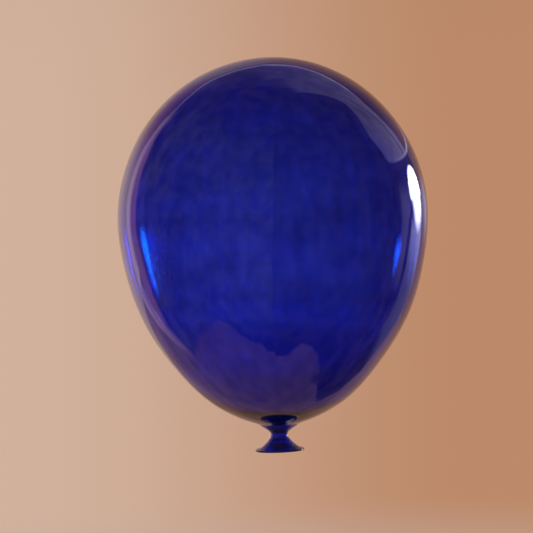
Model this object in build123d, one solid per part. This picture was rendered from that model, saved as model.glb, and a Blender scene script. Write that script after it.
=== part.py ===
"""A blown cobalt-glass balloon: a hollow bulb, the solid neck bit that seals it, a flared tail and a lip wrap.

Lengths are in millimetres. The origin is the centre of the waist, where a ribbon or cord is tied.
+Z runs up the bulb's axis. The flared tail hangs below the origin and leans a little to the front, -Y, and to +X.
"""

import math
import os

from build123d import *

# Bulb outline. Below its widest circle the outline runs through the (radius, height) points of
# BULB_LOWER_POINTS, down to the waist.
BULB_RADIUS = 100.0
WIDEST_HEIGHT = 139.8
CROWN_HEIGHT = 103.7
BULB_LOWER_POINTS = [
    (94.9, 103.5),
    (83.8, 72.3),
    (62.9, 41.2),
    (41.2, 20.4),
    (21.7, 10.1),
    (12.3, 6.2),
    (7.7, 3.1),
]

# Glass thickness. The bulb is blown thin, and its wall thickens towards the neck.
# CAVITY_WALLS pairs a share of the lower outline's length with the wall's thickness there.
CROWN_WALL = 1.2
CAVITY_WALLS = [(0.20, 1.2), (0.45, 1.4), (0.65, 1.7), (0.80, 2.2), (0.89, 3.0)]
CAVITY_FLOOR_HEIGHT = 10.4

# Seam where the neck bit was stuck over the bulb's blowing hole: a cone that crosses the wall squarely.
SEAM_CAVITY_RADIUS = 12.3
SEAM_CAVITY_HEIGHT = 10.8
SEAM_HALF_ANGLE = 24.0
SEAM_TOP = 16.0
SEAM_BOTTOM = -4.0

# Waist: the cylinder that the tie goes round, half of it on the neck and half on the tail.
WAIST_RADIUS = 5.3
WAIST_HALF_LENGTH = 0.6

# Tail: a flared trumpet with a shallow open mouth. It leans from the bulb's axis, towards LEAN_DIRECTION.
TAIL_OUTER_POINTS = [(6.7, -3.0), (9.1, -5.6), (11.9, -7.8)]
TAIL_EDGE_RADIUS = 14.4
TAIL_EDGE_TOP = -9.3
TAIL_EDGE_THICKNESS = 1.1
MOUTH_POINTS = [(10.4, -9.2), (5.5, -7.4)]
MOUTH_TOP = -6.6
LEAN_ANGLE = 2.8
LEAN_DIRECTION = Vector(0.3, -1.0, 0.0).normalized()

# Lip wrap: a thread of glass round the tail's edge, ground flat underneath.
LIP_SECTION_RADIUS = 0.85
LIP_CENTRE_RADIUS = 15.05
LIP_GROUND_DEPTH = 0.6

# Length of a quarter round's curve handles, as a share of its radius.
QUARTER_ROUND = 0.5523

# Side of the boxes that cut half spaces away.
CUTTER = 120.0


def at(radius, height):
    """The point of the outline plane at that radius and height."""
    return Vector(radius, 0.0, height)


def turned(*edges):
    """The solid that a closed outline of edges makes when it is turned about the Z axis."""
    return revolve(make_face(Wire(edges)), Axis.Z, 360)


def crown_curve(radius, height):
    """A quarter of an ellipse, from the bulb's top to its widest circle."""
    top = WIDEST_HEIGHT + height
    return Bezier(
        at(0, top),
        at(QUARTER_ROUND * radius, top),
        at(radius, WIDEST_HEIGHT + QUARTER_ROUND * height),
        at(radius, WIDEST_HEIGHT),
    )


def lower_outline():
    """The bulb's outer outline, from its widest circle down to the waist."""
    points = [at(BULB_RADIUS, WIDEST_HEIGHT)]
    points += [at(r, z) for r, z in BULB_LOWER_POINTS]
    points.append(at(WAIST_RADIUS, WAIST_HALF_LENGTH))
    return Spline(points, tangents=[Vector(0, 0, -1), Vector(0, 0, -1)])


def glass_envelope():
    """The bulb and neck as if they were solid glass, running a little past the waist."""
    outline = lower_outline()
    end = at(WAIST_RADIUS, -WAIST_HALF_LENGTH)
    foot = at(0, -WAIST_HALF_LENGTH)
    return turned(
        crown_curve(BULB_RADIUS, CROWN_HEIGHT),
        outline,
        Line(outline @ 1, end),
        Line(end, foot),
        Line(foot, at(0, WIDEST_HEIGHT + CROWN_HEIGHT)),
    )


def cavity():
    """The air space that was blown into the bulb. It follows the outer outline at the wall's thickness."""
    outline = lower_outline()
    points = [at(BULB_RADIUS - CROWN_WALL, WIDEST_HEIGHT)]
    for share, wall in CAVITY_WALLS:
        along = outline % share
        inward = Vector(along.Z, 0, -along.X)
        points.append((outline @ share) + inward * wall)
    floor = at(0, CAVITY_FLOOR_HEIGHT)
    points.append(floor)
    return turned(
        crown_curve(BULB_RADIUS - CROWN_WALL, CROWN_HEIGHT - CROWN_WALL),
        Spline(points, tangents=[Vector(0, 0, -1), Vector(-1, 0, 0)]),
        Line(floor, at(0, WIDEST_HEIGHT + CROWN_HEIGHT - CROWN_WALL)),
    )


def seam_cone():
    """Everything inside the seam between the bulb and the neck bit."""
    slope = math.tan(math.radians(SEAM_HALF_ANGLE))
    top_radius = SEAM_CAVITY_RADIUS - (SEAM_TOP - SEAM_CAVITY_HEIGHT) * slope
    bottom_radius = SEAM_CAVITY_RADIUS + (SEAM_CAVITY_HEIGHT - SEAM_BOTTOM) * slope
    corners = [at(0, SEAM_TOP), at(top_radius, SEAM_TOP), at(bottom_radius, SEAM_BOTTOM), at(0, SEAM_BOTTOM)]
    return turned(*Polyline(corners, close=True).edges())


def lean(shape, angle):
    """The shape turned about the origin, so that what hangs below it swings towards LEAN_DIRECTION."""
    pivot = Axis((0, 0, 0), (LEAN_DIRECTION.Y, -LEAN_DIRECTION.X, 0))
    return shape.rotate(pivot, angle)


def above_waist():
    """The half space above the waist's mitre plane, which halves the angle between bulb and tail."""
    return lean(Pos(0, 0, CUTTER / 2) * Box(CUTTER, CUTTER, CUTTER), LEAN_ANGLE / 2)


def upright_tail():
    """The tail before it is leaned over, running a little past the waist."""
    top = at(WAIST_RADIUS, WAIST_HALF_LENGTH)
    flare_start = at(WAIST_RADIUS, -WAIST_HALF_LENGTH)
    edge_top = at(TAIL_EDGE_RADIUS, TAIL_EDGE_TOP)
    edge_bottom = at(TAIL_EDGE_RADIUS, TAIL_EDGE_TOP - TAIL_EDGE_THICKNESS)
    mouth_top = at(0, MOUTH_TOP)
    outer = Spline(
        [flare_start, *[at(r, z) for r, z in TAIL_OUTER_POINTS], edge_top],
        tangents=[Vector(0, 0, -1), Vector(1, 0, -0.45)],
    )
    mouth = Spline(
        [edge_bottom, *[at(r, z) for r, z in MOUTH_POINTS], mouth_top],
        tangents=[Vector(-1, 0, 0.35), Vector(-1, 0, 0)],
    )
    crown = at(0, WAIST_HALF_LENGTH)
    return turned(
        Line(crown, top),
        Line(top, flare_start),
        outer,
        Line(edge_top, edge_bottom),
        mouth,
        Line(mouth_top, crown),
    )


def upright_lip():
    """The lip wrap before it is leaned over: a round thread, cut to the tail's edge and ground flat below."""
    centre_height = TAIL_EDGE_TOP - TAIL_EDGE_THICKNESS / 2
    thread = Pos(0, 0, centre_height) * Torus(LIP_CENTRE_RADIUS, LIP_SECTION_RADIUS)
    tail_edge = Pos(0, 0, centre_height) * Cylinder(TAIL_EDGE_RADIUS, 4 * LIP_SECTION_RADIUS)
    ground_away = Pos(0, 0, centre_height - LIP_GROUND_DEPTH - CUTTER / 2) * Box(CUTTER, CUTTER, CUTTER)
    return thread - tail_edge - ground_away


def main():
    glass = glass_envelope() - cavity()
    seam = seam_cone()
    waist = above_waist()
    pieces = {
        "bulb": glass - seam,
        "neck_stem": (glass & seam) & waist,
        "flared_tail": lean(upright_tail(), LEAN_ANGLE) - waist,
        "lip_wrap": lean(upright_lip(), LEAN_ANGLE),
    }
    os.makedirs("parts", exist_ok=True)
    for name, piece in pieces.items():
        export_step(piece, f"parts/{name}.step")


main()
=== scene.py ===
"""The looks of the blown-glass balloon: four fused pieces of cobalt glass in a warm photo studio.

The glass is coloured through, and its colour comes from how far the light travels in it. The thin bulb
is bright blue, and its rim shows only what it mirrors. The solid neck and tail are of a paler, hazier glass.
The room is in metres in the CAD frame: the origin is the waist and +Z runs up the bulb's axis.
"""

import math

import bmesh
import bpy
from mathutils import Matrix, Vector, noise


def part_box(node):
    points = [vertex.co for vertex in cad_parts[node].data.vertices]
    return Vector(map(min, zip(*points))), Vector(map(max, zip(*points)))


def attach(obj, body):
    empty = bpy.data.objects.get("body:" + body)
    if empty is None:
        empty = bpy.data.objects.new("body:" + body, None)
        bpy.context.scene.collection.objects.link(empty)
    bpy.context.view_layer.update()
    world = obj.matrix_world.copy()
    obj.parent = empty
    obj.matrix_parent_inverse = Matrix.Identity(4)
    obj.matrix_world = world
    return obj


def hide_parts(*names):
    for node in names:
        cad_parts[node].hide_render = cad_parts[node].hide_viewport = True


MM = 0.001

# The pieces' outlines. A point is (radius, height) in millimetres, and WALLS holds the wall's thickness at
# the bulb's points. They stay close to the CAD part's outlines, but its waist is a short cylinder and this
# one is a smooth curve, so just above the waist the two are about half a millimetre apart.
WIDEST = 139.8
WALL = 1.2
SEAM_OUTER = (13.9, 7.2)
SEAM_INNER = (12.27, 10.87)
BULB_POINTS = [(94.9, 103.5), (83.8, 72.3), (62.9, 41.2), (41.2, 20.4), (21.7, 10.1), SEAM_OUTER]
WALLS = [1.2, 1.3, 1.5, 1.9, 3.0]
CAVITY_POINT = (6.0, 10.5)
CAVITY_FLOOR = 10.4
WAIST = 5.3
NECK_POINTS = [(12.3, 6.2), (7.7, 3.1), (5.5, 1.0)]
TAIL_POINTS = [(5.5, -1.1), (6.7, -3.0), (9.1, -5.6), (11.9, -7.8)]
TAIL_EDGE = 14.4
TAIL_EDGE_TOP = -9.3
TAIL_EDGE_BOTTOM = -10.4
MOUTH_POINTS = [(10.4, -9.2), (5.5, -7.4)]
MOUTH_TOP = -6.6
LIP_CENTRE = (15.05, -9.85)
LIP_ROUND = 0.85
LIP_GROUND = 0.6

# The tail leans from the waist, and the bend is spread over this many millimetres below it.
LEAN = math.radians(2.8)
LEAN_DIRECTION = Vector((0.3, -1.0, 0.0)).normalized()
LEAN_SPREAD = 2.0

# The way an outline runs at its ends.
DOWN = (0, -1)
INWARD = (-1, 0)
ALONG_OUTER_SEAM = (-0.92, -0.4)
ALONG_INNER_SEAM = (-1, -0.12)
ALONG_TAIL_EDGE = (1, -0.45)
ALONG_MOUTH_EDGE = (-1, 0.35)

# How finely the outlines are cut, how far the tail is kept from the neck and the lip from the tail, and what
# counts as no length at all. The bulb and the neck share their seam's faces, with no gap.
TURN_STEPS = 224
CROWN_STEPS = 60
BULB_STEPS = 90
CAVITY_STEPS = 16
NECK_STEPS = 50
TAIL_STEPS = 60
MOUTH_STEPS = 40
LIP_STEPS = 28
JOIN_GAP = 0.01
NEARLY_NONE = 1e-6

# What a stretch of outline is: a piece's outside, the wall of its own hollow, or a join with another piece.
OUTSIDE, HOLLOW, FUSED = range(3)

# Hand-blown unevenness in millimetres: how far each surface wanders, over what length, and the place in the
# noise where it starts. It sets in between two heights above the neck.
OUTER_WANDER = (0.38, 46.0, Vector((3.1, 8.4, 1.7)))
OUTER_RIPPLE = (0.06, 13.0, Vector((1.3, 4.4, 9.2)))
WALL_WANDER = (0.09, 21.0, Vector((7.9, 2.2, 5.3)))
EVEN_BELOW = 8.0
UNEVEN_ABOVE = 30.0

# The tool marks near the axis, which show on the neck and the tail: how many, how deep, and the radii
# between which they fade out.
TOOL_MARKS = 17
TOOL_MARK_DEPTH = 0.07
TOOLED_WITHIN = 9.0
TOOLED_TO = 16.0

# Cobalt glass: how strongly each millimetre absorbs red, green and blue light. The neck, the tail and the
# lip take away much less blue than the bulb, and what they lack in clearness is a haze of their tint.
BULB_ABSORBS = (2.0, 1.5, 0.11)
BULB_TINT = (1.0, 1.0, 1.0)
BULB_CLEARNESS = 1.0
NECK_ABSORBS = (1.9, 1.3, 0.012)
NECK_TINT = (0.36, 0.4, 1.0)
NECK_CLEARNESS = 0.84
GLASS_INDEX = 1.5
SHADE_TINT = 0.7
CORDS_SCALE = (150.0, 150.0, 22.0)
BANDS_SCALE = (14.0, 14.0, 44.0)
SMEAR_SCALE = 55.0
SMEAR_ROUGHNESS = 0.03

# An upright patch of seeds, which are fine bubbles under the surface, in metres: where its middle is, how
# far it reaches along each axis, how far the seeds stand up, and how closely they lie.
SEEDS_AT = (-0.066, -0.072, 0.112)
SEEDS_REACH = (0.014, 0.014, 0.03)
SEEDS_RISE = 0.00012
SEEDS_SCALE = 560.0

# The light that each part of the studio gives off.
WARM_LEFT = (0.64, 0.44, 0.335)
WARM_RIGHT = (0.505, 0.255, 0.145)
ROSY_CORNER = (0.6, 0.27, 0.27)
LAID_CANVAS = (0.5, 0.27, 0.21)
PALE_BOARD = (0.66, 0.43, 0.47)
BEHIND_BOARD = (0.72, 0.29, 0.22)
SOFTBOX_FACE = (8.2, 8.4, 8.6)
SOFTBOX_CORE = (0.0, 400.0, 42.0)
SOFTBOX_HALO = (0.0, 16.0, 9.0)
SOFTBOX_SPILL = (0.6, 0.6, 0.8)
SOFTBOX_BESIDE = (0.25, 0.4, 0.6)
DIM_FLAT = (0.34, 0.29, 0.38)
GREY_SHEET = (1.0, 0.84, 0.9)
SHEET_HEM = (0.6, 0.5, 0.5)
SHEET_LOW_HEM = (0.7, 0.72, 0.8)
DARK_ROOM = (0.14, 0.09, 0.11)
ROOM_AT_LEFT = (0.24, 0.2, 0.21)

# The softbox's middle in degrees, and how far its sides lean.
SOFTBOX_TURN = 48.0
SOFTBOX_RISE = 7.6
SOFTBOX_SLANT = 0.2

# Where the wall meets the table, as a height on the wall, and the least part of a direction that has to
# point at the wall or the table to meet it.
WALL_FOOT = -0.33
HORIZON = 0.02

# Lamps that only rays through the bulb's two walls meet. Each is an oval, as spot() takes it, and its light.
INNER_LAMPS = [
    ((-59.5, 10.2, 4.8, 4.8, 0.9), (4.0, 170.0, 30.0)),
    ((-33.0, 7.0, 4.0, 3.0, 0.8), (5.0, 7.0, 6.0)),
    ((23.0, 5.8, 2.8, 3.4, 0.8), (22.0, 22.0, 18.0)),
]

# The pale floor and the camera. Lengths are in metres, but the lens and the sensor are in millimetres.
FLOOR_BELOW = 0.24
FLOOR_REACH = 1.3
FLOOR_FADES = (1.15, 0.45)
FLOOR_STEPS = 96
FLOOR_DARKER = (0.62, 0.49, 0.41)
FLOOR_PALER = (0.66, 0.53, 0.45)
FLOOR_GRAIN = 160.0
FLOOR_GLOW = 0.6
CAMERA_AT = (-0.005, -0.8163, 0.109)
CAMERA_ROLL = math.radians(-1.7)
CAMERA_LENS = 85.0
CAMERA_SENSOR = 36.0

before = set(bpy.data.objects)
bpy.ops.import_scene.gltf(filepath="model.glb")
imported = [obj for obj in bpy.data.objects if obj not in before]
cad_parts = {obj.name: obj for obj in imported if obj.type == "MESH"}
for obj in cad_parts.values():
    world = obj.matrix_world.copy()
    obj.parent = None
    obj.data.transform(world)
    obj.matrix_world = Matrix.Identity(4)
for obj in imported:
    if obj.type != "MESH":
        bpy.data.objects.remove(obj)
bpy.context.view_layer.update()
bulb_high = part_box("bulb")[1]
BULB_RADIUS = bulb_high.x / MM
CROWN = bulb_high.z / MM


# ---------------------------------------------------------------- outlines


def curve(points, start, end, steps):
    """A smooth curve through the points, leaving along start and arriving along end.

    It is a cubic spline: each inner point's slope is found by going round the points until they settle.
    """
    points = [Vector(p) for p in points]
    count = len(points)
    spans = [(b - a).length ** 0.75 for a, b in zip(points, points[1:])]
    chords = [(b - a).length / s for a, b, s in zip(points, points[1:], spans)]
    slopes = [Vector(start).normalized() * chords[0]]
    slopes += [Vector((0.0, 0.0))] * (count - 2)
    slopes.append(Vector(end).normalized() * chords[-1])
    rounds = 60
    for _ in range(rounds):
        for i in range(1, count - 1):
            before = (points[i] - points[i - 1]) / spans[i - 1] * 3 - slopes[i - 1]
            after = (points[i + 1] - points[i]) / spans[i] * 3 - slopes[i + 1]
            weight = 2 * (spans[i] + spans[i - 1])
            slopes[i] = (before * spans[i] + after * spans[i - 1]) / weight
    line = []
    total = sum(spans)
    for step in range(steps + 1):
        at = total * step / steps
        i = 0
        while i < count - 2 and at > spans[i]:
            at -= spans[i]
            i += 1
        t = at / spans[i]
        line.append(
            points[i] * (2 * t**3 - 3 * t**2 + 1)
            + slopes[i] * (t**3 - 2 * t**2 + t) * spans[i]
            + points[i + 1] * (3 * t**2 - 2 * t**3)
            + slopes[i + 1] * (t**3 - t**2) * spans[i]
        )
    return line


def crown_line(inset):
    """A quarter ellipse from the crown to the widest circle, that far inside the outer surface."""
    line = []
    for step in range(CROWN_STEPS + 1):
        turn = math.pi / 2 * step / CROWN_STEPS
        radius = (BULB_RADIUS - inset) * math.sin(turn)
        height = WIDEST + (CROWN - WIDEST - inset) * math.cos(turn)
        line.append(Vector((radius, height)))
    return line


def bulb_outer():
    """The bulb's outline, from the crown down to its seam with the neck."""
    low = curve([(BULB_RADIUS, WIDEST), *BULB_POINTS], DOWN, ALONG_OUTER_SEAM, BULB_STEPS)
    return crown_line(0.0)[:-1] + low


def bulb_inner():
    """The hollow's outline. The wall that it leaves grows thicker towards the neck."""
    points = [Vector((BULB_RADIUS - WALL, WIDEST))]
    outer = [Vector((BULB_RADIUS, WIDEST))] + [Vector(p) for p in BULB_POINTS]
    for before, point, after, wall in zip(outer, outer[1:], outer[2:], WALLS):
        along = (after - before).normalized()
        points.append(point + Vector((along.y, -along.x)) * wall)
    points.append(Vector(SEAM_INNER))
    return crown_line(WALL)[:-1] + curve(points, DOWN, ALONG_INNER_SEAM, BULB_STEPS)


# ---------------------------------------------------------------- meshes


def wander(point, reach, length, place):
    """How far a surface stands off its true shape at a point."""
    return noise.noise(point / length + place) * reach


def fade(value, none, full):
    """Smoothly 0 at none and 1 at full, and level beyond them; either may be the greater."""
    share = min(1.0, max(0.0, (value - none) / (full - none)))
    return share * share * (3 - 2 * share)


def unevenness(point, in_hollow):
    """The small move that makes a point of the true shape look blown and tooled by hand."""
    off = wander(point, *OUTER_WANDER) + wander(point, *OUTER_RIPPLE)
    if in_hollow:
        off -= wander(point, *WALL_WANDER)
    out = Vector((point.x, point.y, point.z - WIDEST)) / BULB_RADIUS
    blown = out * off * fade(point.z, EVEN_BELOW, UNEVEN_ABOVE)
    turn = math.atan2(point.y, point.x)
    radius = math.hypot(point.x, point.y)
    depth = TOOL_MARK_DEPTH * math.sin(TOOL_MARKS * turn + 2.0 * math.sin(3.0 * turn))
    near_neck = fade(radius, TOOLED_TO, TOOLED_WITHIN)
    tooled = Vector((point.x, point.y, 0.0)) / max(radius, 1.0) * depth * near_neck
    return blown + tooled


def ring_of(work, radius, height):
    """A ring of points about the axis, or the one point on it."""
    if radius < NEARLY_NONE:
        return [work.verts.new((0, 0, height))]
    turns = [2 * math.pi * k / TURN_STEPS for k in range(TURN_STEPS)]
    return [work.verts.new((radius * math.cos(t), radius * math.sin(t), height)) for t in turns]


def lathe(name, stretches):
    """Turns stretches of outline about the Z axis. Each is its points and what it is.

    An outline whose end meets its start is a closed ring.
    """
    work = bmesh.new()
    fused_layer = work.faces.layers.float.new("fused")
    stretches = [([Vector(p) for p in points], kind) for points, kind in stretches]
    start = stretches[0][0][0]
    end = stretches[-1][0][-1]
    rings = [ring_of(work, *start)]
    kinds = []
    for points, kind in stretches:
        for point in points[1:]:
            rings.append(ring_of(work, *point))
            kinds.append(kind)
    if start.x > 0 and (end - start).length < NEARLY_NONE:
        bmesh.ops.delete(work, geom=rings.pop(), context="VERTS")
        rings.append(rings[0])
    hollow_verts = set()
    for first, second, kind in zip(rings, rings[1:], kinds):
        for k in range(TURN_STEPS):
            after = (k + 1) % TURN_STEPS
            if len(first) == 1:
                corners = [first[0], second[k], second[after]]
            elif len(second) == 1:
                corners = [first[k], second[0], first[after]]
            else:
                corners = [first[k], second[k], second[after], first[after]]
            face = work.faces.new(corners)
            face.smooth = kind != FUSED
            face[fused_layer] = float(kind == FUSED)
            if kind == HOLLOW:
                hollow_verts.update(corners)
    if work.calc_volume(signed=True) < 0:
        bmesh.ops.reverse_faces(work, faces=work.faces)
    for vert in work.verts:
        vert.co += unevenness(vert.co.copy(), vert in hollow_verts)
    mesh = bpy.data.meshes.new(name)
    work.to_mesh(mesh)
    work.free()
    piece = bpy.data.objects.new(name, mesh)
    bpy.context.scene.collection.objects.link(piece)
    return piece


def leaned(piece):
    """Bends what hangs below the waist towards the tail's lean."""
    pivot = LEAN_DIRECTION.cross(Vector((0, 0, 1)))
    for vert in piece.data.vertices:
        share = fade(-vert.co.z, 0.0, LEAN_SPREAD)
        vert.co = Matrix.Rotation(LEAN * share, 3, pivot) @ vert.co
    return piece


def placed(piece, node, material):
    """Scales the millimetre mesh to metres and ties it to the CAD frame."""
    piece.data.transform(Matrix.Scale(MM, 4))
    piece.data.materials.append(material)
    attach(piece, "root")
    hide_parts(node)


# ---------------------------------------------------------------- node helpers


class Graph:
    """Short calls that build a node tree."""

    def __init__(self, tree):
        self.tree = tree
        tree.nodes.clear()

    def node(self, kind, inputs=None, **settings):
        """A new node. Each of its inputs is given a value, or a socket to be linked to."""
        made = self.tree.nodes.new(kind)
        for key, value in settings.items():
            setattr(made, key, value)
        for key, value in (inputs or {}).items():
            if isinstance(value, bpy.types.NodeSocket):
                self.link(value, made.inputs[key])
            else:
                made.inputs[key].default_value = value
        return made

    def link(self, source, target):
        self.tree.links.new(source, target)

    def maths(self, operation, *values):
        return self.node("ShaderNodeMath", dict(enumerate(values)), operation=operation).outputs[0]

    def vectors(self, operation, *values):
        """The vector that a vector operation gives."""
        made = self.node("ShaderNodeVectorMath", dict(enumerate(values)), operation=operation)
        return made.outputs["Vector"]

    def length(self, vector):
        made = self.node("ShaderNodeVectorMath", {0: vector}, operation="LENGTH")
        return made.outputs["Value"]

    def scaled(self, place, scale):
        return self.node("ShaderNodeMapping", {"Vector": place, "Scale": scale}).outputs[0]

    def cloud(self, place, scale, detail):
        """Soft noise from 0 to 1."""
        settings = {"Vector": place, "Scale": scale, "Detail": detail}
        return self.node("ShaderNodeTexNoise", settings).outputs["Fac"]

    def step(self, value, none, full):
        """Smoothly 0 at none and 1 at full, and level beyond them; either may be the greater."""
        ends = {0: value, 1: none, 2: full}
        return self.node("ShaderNodeMapRange", ends, interpolation_type="SMOOTHSTEP").outputs[0]

    def between(self, value, low, high, soft):
        """1 where the value is between low and high, with borders that soft."""
        rise = self.step(value, low - soft, low + soft)
        fall = self.step(value, high + soft, high - soft)
        return self.maths("MULTIPLY", rise, fall)

    def over(self, value, limit, soft):
        """1 where the value is over the limit, with a border that soft."""
        return self.step(self.maths("SUBTRACT", value, limit), -soft, soft)

    def line(self, value, slope, start):
        """slope * value + start."""
        return self.maths("MULTIPLY_ADD", value, slope, start)

    def product(self, *values):
        """The values multiplied, which for masks is where all of them are at once."""
        result = values[0]
        for value in values[1:]:
            result = self.maths("MULTIPLY", result, value)
        return result

    def tint(self, mask, colour):
        """The colour, as strong as the mask is."""
        made = self.node("ShaderNodeVectorMath", {0: colour, 3: mask}, operation="SCALE")
        return made.outputs[0]

    def total(self, colours):
        result = colours[0]
        for colour in colours[1:]:
            result = self.vectors("ADD", result, colour)
        return result

    def mix(self, share, first, second):
        """The first colour where the share is 0 and the second where it is 1."""
        return self.node("ShaderNodeMix", {0: share, 4: first, 5: second}, data_type="VECTOR").outputs[1]

    def surface(self, shader):
        """Makes the shader the material's surface, and gives back the output node."""
        out = self.node("ShaderNodeOutputMaterial")
        self.link(shader.outputs[0], out.inputs["Surface"])
        return out


# ---------------------------------------------------------------- materials


def cobalt_glass(name, absorbs, clearness, tint):
    """Glass that takes the light's red and green as it passes through.

    Blown glass is never quite even. Darker cords run up it and darker bands run round it, there are faint
    smears on it, and one side of the bulb holds a patch of fine seeds.
    What it lacks in clearness is a haze of its tint.
    """
    material = bpy.data.materials.new(name)
    material.use_nodes = True
    graph = Graph(material.node_tree)
    place = graph.node("ShaderNodeTexCoord").outputs["Object"]

    cords = graph.cloud(graph.scaled(place, CORDS_SCALE), 1.0, 2.0)
    bands = graph.cloud(graph.scaled(place, BANDS_SCALE), 1.0, 3.0)
    depth = graph.maths("ADD", graph.maths("MULTIPLY", cords, 0.35), graph.maths("MULTIPLY", bands, 0.65))
    shade = graph.step(depth, 0.32, 0.68)
    tone = graph.mix(shade, [SHADE_TINT * t for t in tint], tint)

    off_seeds = graph.vectors("SUBTRACT", place, SEEDS_AT)
    off_seeds = graph.length(graph.vectors("DIVIDE", off_seeds, SEEDS_REACH))
    seeded = graph.step(off_seeds, 1.0, 0.4)
    fine = graph.cloud(place, SEEDS_SCALE, 0.0)
    bump = graph.node("ShaderNodeBump", {"Height": fine, "Strength": seeded, "Distance": SEEDS_RISE})

    smear = graph.step(graph.cloud(place, SMEAR_SCALE, 3.0), 0.5, 0.8)
    glass = graph.node(
        "ShaderNodeBsdfPrincipled",
        {
            "Base Color": tone,
            "Roughness": graph.maths("MULTIPLY", smear, SMEAR_ROUGHNESS),
            "IOR": GLASS_INDEX,
            "Transmission Weight": clearness,
            "Normal": bump.outputs[0],
        },
    )
    fused = graph.node("ShaderNodeAttribute", attribute_name="fused").outputs["Fac"]
    clear = graph.node("ShaderNodeBsdfTransparent")
    wall = graph.node("ShaderNodeMixShader", {0: fused, 1: glass.outputs[0], 2: clear.outputs[0]})
    strongest = max(absorbs)
    inside = graph.node(
        "ShaderNodeVolumeAbsorption",
        {"Color": (*[1 - a / strongest for a in absorbs], 1.0), "Density": strongest / MM},
    )
    graph.link(inside.outputs[0], graph.surface(wall).inputs["Volume"])
    return material


# ---------------------------------------------------------------- pieces


def make_bulb(material):
    """The hollow bulb, open where the neck closes it."""
    outer = bulb_outer()
    inner = bulb_inner()[::-1]
    seam = [outer[-1], inner[0]]
    piece = lathe("glass_bulb", [(outer, OUTSIDE), (seam, FUSED), (inner, HOLLOW)])
    placed(piece, "bulb", material)


def make_neck_stem(material):
    """The solid neck. Its top is the floor of the bulb's hollow."""
    floor_points = [SEAM_INNER, CAVITY_POINT, (0.0, CAVITY_FLOOR)]
    floor = curve(floor_points, ALONG_INNER_SEAM, INWARD, CAVITY_STEPS)[::-1]
    seam = [SEAM_INNER, SEAM_OUTER]
    side = curve([SEAM_OUTER, *NECK_POINTS, (WAIST, 0.0)], ALONG_OUTER_SEAM, DOWN, NECK_STEPS)
    foot = [(WAIST, 0.0), (0.0, 0.0)]
    stretches = [(floor, OUTSIDE), (seam, FUSED), (side, OUTSIDE), (foot, FUSED)]
    placed(lathe("glass_neck_stem", stretches), "neck_stem", material)


def make_flared_tail(material):
    """The solid trumpet below the waist, with a shallow open mouth."""
    head = [(0.0, -JOIN_GAP), (WAIST, -JOIN_GAP)]
    edge = [(TAIL_EDGE, TAIL_EDGE_TOP), (TAIL_EDGE, TAIL_EDGE_BOTTOM)]
    flare = curve([head[1], *TAIL_POINTS, edge[0]], DOWN, ALONG_TAIL_EDGE, TAIL_STEPS)
    mouth = curve([edge[1], *MOUTH_POINTS, (0.0, MOUTH_TOP)], ALONG_MOUTH_EDGE, INWARD, MOUTH_STEPS)
    stretches = [(head, FUSED), (flare, OUTSIDE), (edge, FUSED), (mouth, OUTSIDE)]
    placed(leaned(lathe("glass_flared_tail", stretches)), "flared_tail", material)


def make_lip_wrap(material):
    """A round thread of glass, cut to fit the tail's edge and ground flat underneath."""
    centre = Vector(LIP_CENTRE)
    depth = centre.x - TAIL_EDGE - JOIN_GAP
    start = math.pi - math.acos(depth / LIP_ROUND)
    thread = []
    for step in range(LIP_STEPS + 1):
        turn = start - 2 * start * step / LIP_STEPS
        point = centre + Vector((math.cos(turn), math.sin(turn))) * LIP_ROUND
        point.y = max(point.y, centre.y - LIP_GROUND)
        thread.append(point)
    stretches = [(thread, OUTSIDE), ([thread[-1], thread[0]], FUSED)]
    placed(leaned(lathe("glass_lip_wrap", stretches)), "lip_wrap", material)


# ---------------------------------------------------------------- studio


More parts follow.
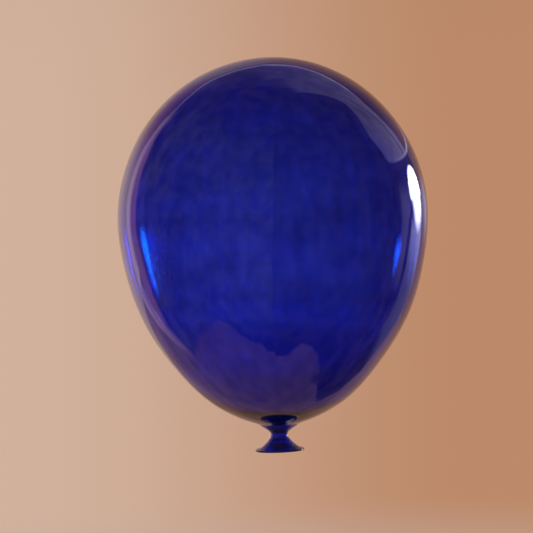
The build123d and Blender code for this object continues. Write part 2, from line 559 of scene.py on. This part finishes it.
class Studio(Graph):
    """What surrounds the glass, in the camera's own directions, so that every view is lit alike.

    turn and rise are a direction's angles from straight ahead, in degrees. wall_y is a height on the wall
    ahead, and table_x and table_y are a place on the table below, in units of how far off each one is.
    """

    def __init__(self, tree):
        super().__init__(tree)
        direction = self.vectors("NORMALIZE", self.node("ShaderNodeTexCoord").outputs["Camera"])
        self.blotches = self.step(self.cloud(direction, 7.0, 3.0), 0.3, 0.7)
        self.waves = self.line(self.cloud(direction, 4.0, 3.0), 1.0, -0.5)
        across, up, ahead = self.node("ShaderNodeSeparateXYZ", {0: direction}).outputs
        self.turn = self.maths("MULTIPLY", self.maths("ARCTAN2", across, ahead), math.degrees(1))
        self.rise = self.maths("MULTIPLY", self.maths("ARCSINE", up), math.degrees(1))
        self.wall_y = self.maths("DIVIDE", up, self.maths("MAXIMUM", ahead, HORIZON))
        below = self.maths("MAXIMUM", self.maths("MULTIPLY", up, -1.0), HORIZON)
        self.table_x = self.maths("DIVIDE", across, below)
        self.table_y = self.maths("DIVIDE", ahead, below)
        self.in_front = self.step(ahead, 0.0, HORIZON)
        is_below = self.step(up, -HORIZON, -2 * HORIZON)
        self.on_wall = self.product(self.in_front, self.over(self.wall_y, WALL_FOOT, 0.02))
        self.on_table = self.product(is_below, self.over(-1 / WALL_FOOT, self.table_y, 0.15))
        passes = self.node("ShaderNodeLightPath").outputs["Transmission Depth"]
        self.through_bulb = self.maths("GREATER_THAN", passes, 3.5)

    def spot(self, turn, rise, width, height, soft, slant=0.0):
        """1 inside an oval and 0 outside it.

        soft is the border's share of its size, and slant is how far it leans to the right as it rises.
        """
        across = self.maths("ADD", self.turn, self.line(self.rise, -slant, slant * rise))
        x = self.line(across, 1 / width, -turn / width)
        y = self.line(self.rise, 1 / height, -rise / height)
        reach = self.maths("ADD", self.maths("MULTIPLY", x, x), self.maths("MULTIPLY", y, y))
        return self.step(self.maths("SQRT", reach), 1.0, 1.0 - soft)

    def wall_top(self):
        """The wall's wavy top edge, which falls away at the left and the right."""
        left = self.maths("MULTIPLY", self.step(self.turn, -42.0, -66.0), -0.62)
        right = self.maths("MULTIPLY", self.step(self.turn, 34.0, 56.0), -0.25)
        return self.maths("ADD", self.line(self.waves, 0.3, 0.99), self.maths("ADD", left, right))

    def table_left(self):
        """The canvas's left edge on the table, which bends as it comes forward."""
        far = self.line(self.table_y, -0.872, -0.558)
        near = self.line(self.table_y, -0.05, -0.9)
        return self.maths("MINIMUM", far, near)

    def canvas_on_wall(self):
        """Where the warm canvas hangs on the wall."""
        across = self.between(self.turn, -52.0, 40.0, 1.2)
        return self.product(self.on_wall, across, self.over(self.wall_top(), self.wall_y, 0.03))

    def canvas_on_table(self):
        """Where the canvas lies on the table, cut raggedly at the left, the right and the front."""
        ragged = self.line(self.waves, 0.45, 0.0)
        left = self.maths("ADD", self.table_x, ragged)
        right = self.maths("MAXIMUM", self.maths("MULTIPLY", self.table_y, 0.84), 0.47)
        front = self.line(self.table_x, 0.19, -0.37)
        return self.product(
            self.on_table,
            self.over(left, self.table_left(), 0.06),
            self.over(self.maths("ADD", right, ragged), self.table_x, 0.03),
            self.over(self.maths("ADD", self.table_y, ragged), front, 0.02),
        )

    def canvas(self):
        """The warm canvas: pale at the left, deeper at the right, rosy at the upper left, dimmer at the top.

        What is seen of it through the bulb's two walls glows behind the middle of the bulb.
        """
        warm = self.mix(self.step(self.turn, -11.0, 9.0), WARM_LEFT, WARM_RIGHT)
        upper_left = self.product(self.step(self.turn, -14.0, -30.0), self.step(self.rise, 10.0, 28.0))
        warm = self.mix(upper_left, warm, ROSY_CORNER)
        off_middle = self.step(self.maths("ABSOLUTE", self.turn), 14.0, 38.0)
        top_loss = self.line(off_middle, -0.4, -0.25)
        upper = self.line(self.step(self.rise, 6.0, 40.0), top_loss, 1.0)
        left_gain = self.line(self.step(self.turn, -12.0, -34.0), 0.35, 1.0)
        behind_bulb = self.product(self.spot(2.0, -0.3, 12.5, 9.0, 0.8), self.through_bulb)
        glow = self.line(behind_bulb, 0.95, 1.0)
        hung = self.product(self.canvas_on_wall(), upper, left_gain, glow)
        laid = self.product(self.canvas_on_table(), self.line(self.blotches, 0.35, 0.8))
        return self.total([self.tint(hung, warm), self.tint(laid, LAID_CANVAS)])

    def pale_edge(self):
        """A pale board at the canvas's left edge, which runs forward along it, and a warmer strip beyond."""
        across = self.between(self.turn, -51.5, -44.5, 1.8)
        upright = self.product(self.on_wall, across, self.step(self.rise, 42.0, 32.0))
        off_edge = self.maths("ABSOLUTE", self.maths("SUBTRACT", self.table_x, self.table_left()))
        width = self.line(self.table_y, 0.14, 0.0)
        near = self.step(self.table_y, 0.35, 0.9)
        flat = self.product(self.on_table, self.over(width, off_edge, 0.1), near)
        far_edge = self.line(self.step(self.rise, 8.0, 40.0), 10.0, -62.0)
        across = self.product(self.over(self.turn, far_edge, 2.2), self.step(self.turn, -51.0, -53.0))
        beyond = self.product(across, self.between(self.rise, -28.0, 36.0, 9.0))
        edge = self.tint(self.maths("MAXIMUM", upright, flat), PALE_BOARD)
        return self.total([edge, self.tint(beyond, BEHIND_BOARD)])

    def softbox(self):
        """An oval softbox at the right, crisp at the top and soft below, with spill under and beside it.

        Through the bulb's two walls its face is dim, and its heart shows: a small core in a wide halo.
        """
        middle = (SOFTBOX_TURN, SOFTBOX_RISE)
        upper = self.spot(*middle, 10.6, 9.4, 0.12, SOFTBOX_SLANT)
        lower = self.spot(*middle, 10.6, 9.8, 0.55, SOFTBOX_SLANT)
        upper = self.product(upper, self.step(self.rise, 6.5, 7.5))
        lower = self.product(lower, self.step(self.rise, 7.5, 6.5))
        face = self.product(self.maths("ADD", upper, lower), self.line(self.through_bulb, -0.9, 1.0))
        core = self.tint(self.spot(55.5, 11.0, 5.4, 9.0, 0.9), SOFTBOX_CORE)
        halo = self.tint(self.spot(64.0, 11.0, 14.0, 10.0, 1.0), SOFTBOX_HALO)
        heart = self.tint(self.through_bulb, self.total([core, halo]))
        under = self.product(
            self.between(self.turn, 39.5, 58.0, 1.2),
            self.between(self.rise, -29.0, 1.0, 3.0),
            self.line(self.step(self.rise, -14.0, 2.0), 1.5, 0.25),
        )
        beside = self.spot(29.0, 4.0, 11.0, 7.0, 0.9)
        spill = [self.tint(under, SOFTBOX_SPILL), self.tint(beside, SOFTBOX_BESIDE)]
        return self.total([self.tint(face, SOFTBOX_FACE), heart, *spill])

    def side_flat(self):
        """A dim flat, further round to the right than the softbox."""
        near_edge = self.line(self.step(self.rise, 0.0, 5.0), -4.0, 63.0)
        across = self.product(self.over(self.turn, near_edge, 1.2), self.step(self.turn, 75.0, 71.0))
        return self.tint(self.product(across, self.between(self.rise, -14.0, 12.0, 6.0)), DIM_FLAT)

    def scrim(self):
        """A sheet of grey diffusion overhead, brighter towards the right, with bright hems."""
        above = self.maths("SUBTRACT", self.wall_y, self.wall_top())
        clear = self.maths("MAXIMUM", self.step(above, 0.04, 0.1), self.step(self.turn, 40.0, 43.0))
        clear = self.maths("MAXIMUM", clear, self.step(self.rise, 56.0, 60.0))
        right_edge = self.line(self.step(self.rise, 55.0, 36.0), 17.0, 59.0)
        low_edge = self.line(self.turn, 0.17, 12.2)
        sheet = self.product(
            clear,
            self.over(right_edge, self.turn, 1.0),
            self.over(self.rise, low_edge, 0.8),
            self.step(self.rise, 82.0, 74.0),
            self.step(self.turn, -60.0, -20.0),
        )
        glow = self.line(self.step(self.turn, -25.0, 60.0), 0.52, 0.1)
        glow = self.product(glow, self.line(self.step(self.rise, 26.0, 46.0), -0.45, 1.0))
        at_seam = self.product(self.between(self.turn, 47.6, 48.8, 0.6), self.step(self.rise, 54.0, 50.0))
        seam = self.line(at_seam, -0.8, 1.0)
        sheet = self.product(sheet, glow, seam, self.line(self.blotches, 0.3, 0.8))
        hem_ends = self.between(self.turn, -46.0, 36.0, 6.0)
        hem = self.product(self.between(above, 0.05, 0.13, 0.03), self.in_front, hem_ends)
        low_hem = self.between(self.maths("SUBTRACT", self.rise, low_edge), -0.7, 0.2, 0.4)
        low_hem = self.product(low_hem, self.between(self.turn, 24.0, 66.0, 8.0))
        hems = [self.tint(hem, SHEET_HEM), self.tint(low_hem, SHEET_LOW_HEM)]
        return self.total([self.tint(sheet, GREY_SHEET), *hems])

    def lamps_inside(self):
        """Small lamps that only rays through the bulb's two walls meet."""
        lamps = [self.tint(self.spot(*oval), light) for oval, light in INNER_LAMPS]
        return self.tint(self.through_bulb, self.total(lamps))

    def dark_room(self):
        """The unlit room around, a little lighter at the left."""
        left = self.product(self.step(self.turn, -58.0, -70.0), self.between(self.rise, -50.0, 55.0, 15.0))
        canvas = self.maths("MAXIMUM", self.canvas_on_wall(), self.canvas_on_table())
        murk = self.product(self.line(self.blotches, 0.7, 0.5), self.line(canvas, -1.0, 1.0))
        return self.tint(murk, self.mix(left, DARK_ROOM, ROOM_AT_LEFT))


def studio_world():
    world = bpy.data.worlds.new("studio")
    bpy.context.scene.world = world
    world.use_nodes = True
    studio = Studio(world.node_tree)
    seen = [studio.canvas(), studio.pale_edge(), studio.softbox(), studio.side_flat(), studio.scrim()]
    seen += [studio.lamps_inside(), studio.dark_room()]
    background = studio.node("ShaderNodeBackground", {0: studio.total(seen)})
    out = studio.node("ShaderNodeOutputWorld")
    studio.link(background.outputs[0], out.inputs[0])


def pale_floor():
    """A plain pale floor that fades out towards its rim. It is seen only directly, and only from above."""
    material = bpy.data.materials.new("pale_floor")
    material.use_nodes = True
    graph = Graph(material.node_tree)
    place = graph.node("ShaderNodeTexCoord").outputs["Object"]
    tone = graph.mix(graph.cloud(place, FLOOR_GRAIN, 3.0), FLOOR_DARKER, FLOOR_PALER)
    lit = graph.node("ShaderNodeBsdfDiffuse", {"Color": tone})
    bounced = graph.node("ShaderNodeEmission", {"Color": tone, "Strength": FLOOR_GLOW})
    pale = graph.node("ShaderNodeAddShader", {0: lit.outputs[0], 1: bounced.outputs[0]})
    clear = graph.node("ShaderNodeBsdfTransparent")
    from_below = graph.node("ShaderNodeNewGeometry").outputs["Backfacing"]
    seen = graph.product(
        graph.step(graph.length(place), *FLOOR_FADES),
        graph.node("ShaderNodeLightPath").outputs["Is Camera Ray"],
        graph.maths("SUBTRACT", 1.0, from_below),
    )
    graph.surface(graph.node("ShaderNodeMixShader", {0: seen, 1: clear.outputs[0], 2: pale.outputs[0]}))
    return material


def make_floor():
    """A wide disc under the balloon."""
    mesh = bpy.data.meshes.new("floor")
    work = bmesh.new()
    centre = work.verts.new((0, 0, -FLOOR_BELOW))
    rim = []
    for k in range(FLOOR_STEPS):
        turn = 2 * math.pi * k / FLOOR_STEPS
        place = (FLOOR_REACH * math.cos(turn), FLOOR_REACH * math.sin(turn), -FLOOR_BELOW)
        rim.append(work.verts.new(place))
    for first, second in zip(rim, rim[1:] + rim[:1]):
        work.faces.new((centre, first, second))
    work.to_mesh(mesh)
    work.free()
    mesh.materials.append(pale_floor())
    floor = bpy.data.objects.new("floor", mesh)
    bpy.context.scene.collection.objects.link(floor)


def make_camera():
    """A short-telephoto camera in front of the bulb. It looks level and is rolled a little."""
    data = bpy.data.cameras.new("camera")
    data.lens = CAMERA_LENS
    data.sensor_width = CAMERA_SENSOR
    camera = bpy.data.objects.new("camera", data)
    bpy.context.scene.collection.objects.link(camera)
    level = Matrix.Rotation(math.pi / 2, 4, "X")
    roll = Matrix.Rotation(CAMERA_ROLL, 4, "Z")
    camera.matrix_world = Matrix.Translation(CAMERA_AT) @ level @ roll
    bpy.context.scene.camera = camera


blown = cobalt_glass("blown_cobalt_glass", BULB_ABSORBS, BULB_CLEARNESS, BULB_TINT)
solid = cobalt_glass("solid_cobalt_glass", NECK_ABSORBS, NECK_CLEARNESS, NECK_TINT)
make_bulb(blown)
make_neck_stem(solid)
make_flared_tail(solid)
make_lip_wrap(solid)
studio_world()
make_floor()
make_camera()
bpy.context.scene.view_settings.view_transform = "Standard"
